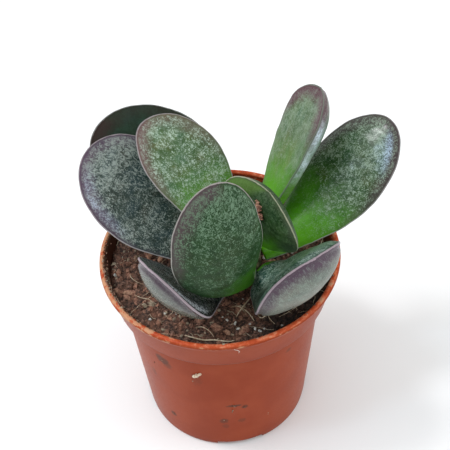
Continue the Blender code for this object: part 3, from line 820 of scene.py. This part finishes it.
# Scattered pieces, their values named by the keys: lengths in metres, density per square metre
grainKeys = "Density Smallest Largest Flatness Thinness Tumble Sink Ragged Detail Seed".split()
grains = dict(
    peatCrumbs=(7.5e5, 0.0004, 0.002, 0.75, 0.6, 3.1, 0.0001, 0.55, 2, 4),
    peatDust=(2.6e6, 0.0002, 0.0006, 0.8, 0.7, 3.1, 0.0, 0.25, 1, 8),
    barkCrumbs=(1.6e5, 0.0006, 0.0028, 0.55, 0.35, 0.5, -0.0001, 0.6, 3, 11),
    paleCrumbs=(1.3e5, 0.00025, 0.0012, 0.7, 0.5, 0.8, -0.0002, 0.3, 2, 23),
    perliteGrains=(1.6e4, 0.0003, 0.001, 0.8, 0.55, 3.1, -0.0002, 0.6, 3, 31))
fibreKeys = "Density Shortest Longest Radius Tumble Wander Sink Seed".split()
fibres = dict(
    paleFibres=(6.0e4, 0.0012, 0.0055, 0.000045, 0.35, 0.003, -0.0003, 5),
    brownFibres=(1.3e5, 0.0012, 0.006, 0.00007, 0.3, 0.0024, -0.0002, 17))

# Dark and light colour of fibres, wood and perlite
threadColours = dict(
    paleFibre=((0.42, 0.31, 0.19), (0.78, 0.66, 0.48)),
    brownFibre=((0.07, 0.03, 0.018), (0.24, 0.12, 0.07)),
    chipWood=((0.5, 0.38, 0.26), (0.8, 0.68, 0.52)), hair=((0.6, 0.55, 0.48), (0.85, 0.8, 0.72)),
    perlite=((0.5, 0.48, 0.43), (0.82, 0.8, 0.75)))

# Fibres laid one by one where the photograph shows them: radius and path in mm
strands = [
    (0.16, [(-8.6, -21.2, 46.9), (-7.1, -22.1, 47.2), (-4.6, -22.9, 47), (-2.2, -23.3, 47.3),
        (0.6, -23.6, 46.9), (2, -23.2, 46.6)]),
    (0.14, [(6.4, -11.2, 46.6), (6.1, -12.3, 47.2), (5, -14.2, 47.8), (3.6, -16, 47.5),
        (2.7, -17.1, 46.8)]),
    (0.11, [(2, -13.8, 46.6), (3.6, -14.9, 47.6), (5.4, -16.6, 47.5), (6.6, -18.4, 46.7)]),
    (0.13, [(6.4, -14.6, 46.7), (7.6, -14.9, 47.8), (8.9, -15.9, 48.1), (9.2, -17.4, 47.6),
        (8.3, -18.2, 47.4), (7.5, -17.3, 47.2), (8.4, -16.2, 46.9)]),
    (0.1, [(9, -15, 46.6), (9.9, -16.4, 47.7), (9.8, -18.3, 47.5), (10.9, -19.6, 46.8)]),
    (0.09, [(-6.2, -19, 46.6), (-4.6, -19.8, 47.5), (-3.2, -20.9, 47.3), (-2.4, -22, 46.8)]),
    (0.07, [(-19.6, -8.8, 46.6), (-18, -10.4, 47.4), (-16.2, -11, 47.3), (-14.8, -12.4, 46.7)]),
    (0.06, [(-20.8, -2.6, 46.6), (-20.2, -4.6, 47.5), (-18.8, -6, 47.6), (-17.4, -6.2, 46.9)]),
    (0.06, [(12, -17.6, 46.6), (14, -17.2, 47.4), (15.6, -16, 47.3), (16.6, -14.9, 46.7)]),
    (0.07, [(20.6, -1, 46.8), (22.2, -0.2, 47.8), (23.4, 1.4, 48.6), (24, 2.6, 49)])]
potHair = (0.06, [(1.5, -27.2, 49.3), (1.9, -27.1, 48.5), (2.5, -26.95, 48), (2.9, -26.8, 47.3),
                  (2.6, -26.7, 46.7)])

# Single lumps on the soil: centre and size in mm
lumps = dict(
    bark=[
        ((-1.8, -19.5, 46.9), (2.3, 1.5, 1.3)), ((0.6, -21, 46.7), (1.5, 1.1, 0.9)),
        ((-5, -17.4, 46.7), (1.6, 1.2, 1)), ((4.6, -20.6, 46.7), (1.7, 1.1, 0.9)),
        ((-19.4, -6.4, 46.8), (1.6, 1, 0.8)), ((-21.2, 0.6, 46.8), (1.3, 1, 0.9))],
    pale=[
        ((-15.7, -11.9, 46.9), (1.5, 1.1, 1)), ((-17.3, -12.1, 46.8), (1.2, 0.9, 0.8)),
        ((18.5, -16.7, 47.3), (0.7, 0.5, 0.5)), ((8.9, -17.3, 47.1), (1.3, 0.8, 0.6))],
    white=[
        ((0.7, -17.8, 46.9), (0.6, 0.5, 0.5)), ((5.6, -19.3, 46.9), (0.5, 0.5, 0.4)),
        ((8.6, -20.8, 46.9), (0.5, 0.35, 0.35)), ((12.5, -20.2, 46.9), (0.45, 0.4, 0.4)),
        ((10.3, -0.4, 47), (1, 0.7, 0.7)), ((-12.8, -14.9, 46.9), (0.6, 0.5, 0.4)),
        ((2.4, -18.9, 47.1), (0.9, 0.5, 0.6)), ((2.9, -20.4, 47), (0.6, 0.9, 0.5)),
        ((7.6, -21.6, 47.2), (0.8, 0.5, 0.5)), ((6.6, -20.9, 47.2), (0.45, 0.7, 0.45)),
        ((13.3, -21.3, 47), (0.4, 0.3, 0.3))])

# Specks on the pot's wall: degrees from +X, height and size in mm
darkSpecks = [
    (-87.1, 19.4, (1.3, 0.4, 0.35)), (-80.2, 17.9, (0.5, 0.3, 0.3)), (-131.1, 8.8, (0.5, 0.3, 0.4)),
    (-128.8, 33.9, (0.7, 0.3, 0.5)), (-137, 30, (0.5, 0.3, 0.4)), (-63.7, 10.5, (0.3, 0.2, 0.3))]
paleSpecks = [
    (-87.8, 17.4, (1.7, 0.25, 0.25)), (-110.5, 29.7, (0.4, 0.2, 0.4)), (-63.7, 11.2, (0.3, 0.2, 0.3)),
    (-94, 12.6, (0.4, 0.2, 0.3))]
woodChip = [(-107.3 + 1.5 * i, 32.8 + 0.55 * i, (1.25, 0.6, 1.3)) for i in (-1, 0, 1)]


def smoothPath(points, steps):
    # Catmull-Rom through all the points
    p = np.array(points, float)
    p = np.vstack([2 * p[0] - p[1], p, 2 * p[-1] - p[-2]])
    out = []
    for i in range(1, len(p) - 2):
        a, b, c, d = p[i - 1:i + 3]
        for t in np.linspace(0, 1, steps, endpoint=False):
            out.append(0.5 * (2 * b + (c - a) * t + (2 * a - 5 * b + 4 * c - d) * t * t
                              + (3 * b - a - 3 * c + d) * t ** 3))
    return np.array(out + [p[-2]])


def tubes(name, specs, sides=8, steps=9):
    points, faces = [], []
    for radius, path in specs:
        path = smoothPath(path, steps)
        ways = unit(np.gradient(path, axis=0))
        across = unit(np.cross(ways[0], (0.3, 0.2, 1.0)))
        faces += tubeFaces(len(path), sides, len(points))
        for i, (where, way) in enumerate(zip(path, ways), 1):
            across = unit(across - (across @ way) * way)
            other = np.cross(way, across)
            thick = radius * (0.55 + 0.45 * math.sin(math.pi * min(1.0, i / len(path) * 1.1)))
            for turn in 2 * np.pi * np.arange(sides) / sides:
                points.append(where + thick * (math.cos(turn) * across + math.sin(turn) * other))
    return makeMesh(name, points, faces)


def clods(name, entries, seed, ragged=0.3):
    # Each entry is a centre and three sizes; the ball is dented and turned by a seeded random
    shape = bmesh.new()
    bmesh.ops.create_icosphere(shape, subdivisions=2, radius=0.5)
    ball = np.array([v.co for v in shape.verts])
    ballFaces = [tuple(v.index for v in face.verts) for face in shape.faces]
    shape.free()
    random = np.random.default_rng(seed)
    points, faces = [], []
    for centre, size in entries:
        turn = Matrix.Rotation(random.uniform(0, 6.28), 3, "Z")
        turn = turn @ Matrix.Rotation(random.uniform(-0.5, 0.5), 3, "X")
        shift = random.uniform(-50, 50, 3)
        dent = 1.0 + ragged * (1.6 * noiseAt(ball * 3.0, shift) + noiseAt(ball * 7.0, shift))
        faces += [tuple(len(points) + i for i in face) for face in ballFaces]
        dented = ball * dent[:, None] * np.array(size)
        points += [np.array(centre) + np.array(turn @ Vector(p)) for p in dented]
    return makeMesh(name, points, faces, smooth=False)


def lipCrust():
    # Pale dirt dried along the left of the lip, and a few grains all the way round
    random = np.random.default_rng(12)
    out = []
    for i in range(230):
        degrees = random.normal(199, 13) if i < 170 else random.uniform(0, 360)
        inward = abs(random.normal(0.0, 0.8))
        radius, height = 26.75 - inward, 49.9
        if inward >= 0.35:
            radius = max(radius, outerRadius(48.0) - pot["wall"] + 0.02)
            height = 49.6 - 1.1 * (inward - 0.35)
        size = random.uniform(0.12, 0.4)
        sizes = (size * random.uniform(1.0, 1.8), size, size * 0.6)
        out.append((around(radius, math.radians(degrees), height), sizes))
    return out


def axilCrumbs():
    # Crumbs caught between the front leaf and the middle leaf
    random = np.random.default_rng(3)
    t = random.uniform(0.71, 0.87, 46)
    angle = np.radians(276 - 85 * (t - 0.71) + random.normal(0.0, 2.0, 46))
    where = leafPoint(leaves["leaf_middle"], t, angle)
    return [(p, random.uniform(0.4, 1.1) * np.array([1.0, 0.8, 0.7])) for p in where]


def onWall(specks, off=0.0):
    return [(around(outerRadius(height) + off, math.radians(turn), height), size)
            for turn, height, size in specks]


def threadMaterial(name, scale=1.2, rough=0.7, depth=0.00005, strength=0.5, high=0.65):
    s = Shader(name)
    cloud = s.noise(s.place(), scale, 3, 0.6)
    s.colour = s.mix(s.step(cloud, 0.35, high), *threadColours[name])
    s.bump(cloud, depth, strength)
    return s.finish(rough)


def buildGrains(leafThings):
    patch = soilPatch(leafThings)
    peat, bark, pale = (peatMaterial(name) for name in ("peatCrumb", "barkCrumb", "paleCrumb"))
    white = threadMaterial("perlite", 3.0, 0.85, 0.0002, 0.8, 0.7)
    threads = ("paleFibre", "brownFibre", "chipWood", "hair")
    straw, brown, wood, hair = (threadMaterial(name) for name in threads)
    for tree, keys, rows, looks in ((grainTree(), grainKeys, grains, (peat, peat, bark, pale, white)),
                                    (fibreTree(), fibreKeys, fibres, (straw, brown))):
        for (name, row), look in zip(rows.items(), looks):
            scatter(name, tree, patch, dict(zip(keys, row)), look, rows is fibres)
    bpy.data.objects.remove(patch)
    finishPiece(tubes("laidFibres", strands), straw, "peat")
    finishPiece(tubes("potHair", [potHair]), hair, "pot_plastic")
    crust = lipCrust()
    for name, entries, seed, ragged, look, slotName in (
            ("barkLumps", lumps["bark"], 4, 0.45, bark, "peat"),
            ("paleLumps", lumps["pale"], 4, 0.45, pale, "peat"),
            ("whiteLumps", lumps["white"], 5, 0.45, white, "peat"),
            ("lipCrust", crust[::2], 21, 0.3, pale, "peat"),
            ("lipCrumbs", crust[1::2], 22, 0.3, bark, "peat"),
            ("axilCrumbs", axilCrumbs(), 9, 0.3, bark, "peat"),
            ("potChip", onWall(woodChip, 0.05), 6, 0.2, wood, "pot_plastic"),
            ("potSpecks", onWall(darkSpecks), 14, 0.3, peat, "pot_plastic"),
            ("potPaleSpecks", onWall(paleSpecks), 15, 0.3, pale, "pot_plastic")):
        finishPiece(clods(name, entries, seed, ragged), look, slotName)


# Floor and light; each lamp has its power in watts, direction in degrees, distance and size in metres
light = dict(
    floor=(0.93, 0.93, 0.93), sky=0.81, skyColour=(0.97, 0.995, 1), lamps=dict(
        keyLight=dict(
            power=0.8, turn=178, climb=67, away=0.55, size=0.085, colour=(0.97, 0.98, 1)),
        blueLight=dict(
            power=0.32, turn=-148, climb=62, away=0.55, size=0.055, colour=(0.66, 0.84, 1)),
        sideLight=dict(
            power=0.85, turn=180, climb=34, away=0.6, size=0.26, colour=(1, 1, 1)),
        frontFill=dict(
            power=0.95, turn=-10, climb=24, away=0.6, size=0.34, colour=(0.98, 0.99, 1))))


def buildStage():
    corners = 3000.0 * np.array([(-1, -1, 0), (1, -1, 0), (1, 1, 0), (-1, 1, 0)])
    floor = makeMesh("paleFloor", corners, [(0, 1, 2, 3)], smooth=False)
    paint = Shader("floorPaint")
    paint.colour = light["floor"]
    floor.data.materials.append(paint.finish(0.6))
    scene = bpy.context.scene
    scene.world = bpy.data.worlds.new("studio")
    scene.world.use_nodes = True
    sky = scene.world.node_tree.nodes["Background"].inputs
    sky["Color"].default_value = (*light["skyColour"], 1.0)
    sky["Strength"].default_value = light["sky"]
    for name, one in light["lamps"].items():
        lamp = bpy.data.lights.new(name, "AREA")
        lamp.energy, lamp.size, lamp.color = one["power"], one["size"], one["colour"]
        way = Vector(compass(one["turn"], math.radians(one["climb"])))
        thing = addObject(name, lamp)
        thing.location = Vector((0.0, 0.0, 0.045)) + way * one["away"]
        thing.rotation_euler = (-way).to_track_quat("-Z", "Y").to_euler()
    scene.view_settings.view_transform = "Standard"


# The camera stands where the photograph was taken from; lengths in mm, angles in degrees
view = dict(
    distance=221.9, climb=47.59, aimHeight=50, pan=0.42, tilt=1.47, roll=3.61, lens=77.8)


def buildCamera():
    ahead = compass(90, -math.radians(view["climb"]))
    right = np.array([1.0, 0.0, 0.0])
    axes = [right, np.cross(right, ahead), ahead]
    for key, a, b in (("pan", 0, 2), ("tilt", 1, 2), ("roll", 0, 1)):
        c, n = math.cos(math.radians(view[key])), math.sin(math.radians(view[key]))
        axes[a], axes[b] = c * axes[a] - n * axes[b], n * axes[a] + c * axes[b]
    lens = bpy.data.cameras.new("photoCamera")
    lens.sensor_width = 36.0
    lens.lens = view["lens"]
    lens.clip_start = 0.01
    camera = addObject("photoCamera", lens)
    matrix = Matrix((axes[0], axes[1], -axes[2])).transposed().to_4x4()
    matrix.translation = (Vector((0.0, 0.0, view["aimHeight"])) - Vector(ahead) * view["distance"]) * mm
    camera.matrix_world = matrix
    bpy.context.scene.camera = camera


buildStage()
buildCamera()
buildPot()
buildStem()
buildSoil()
buildGrains(buildLeaves())
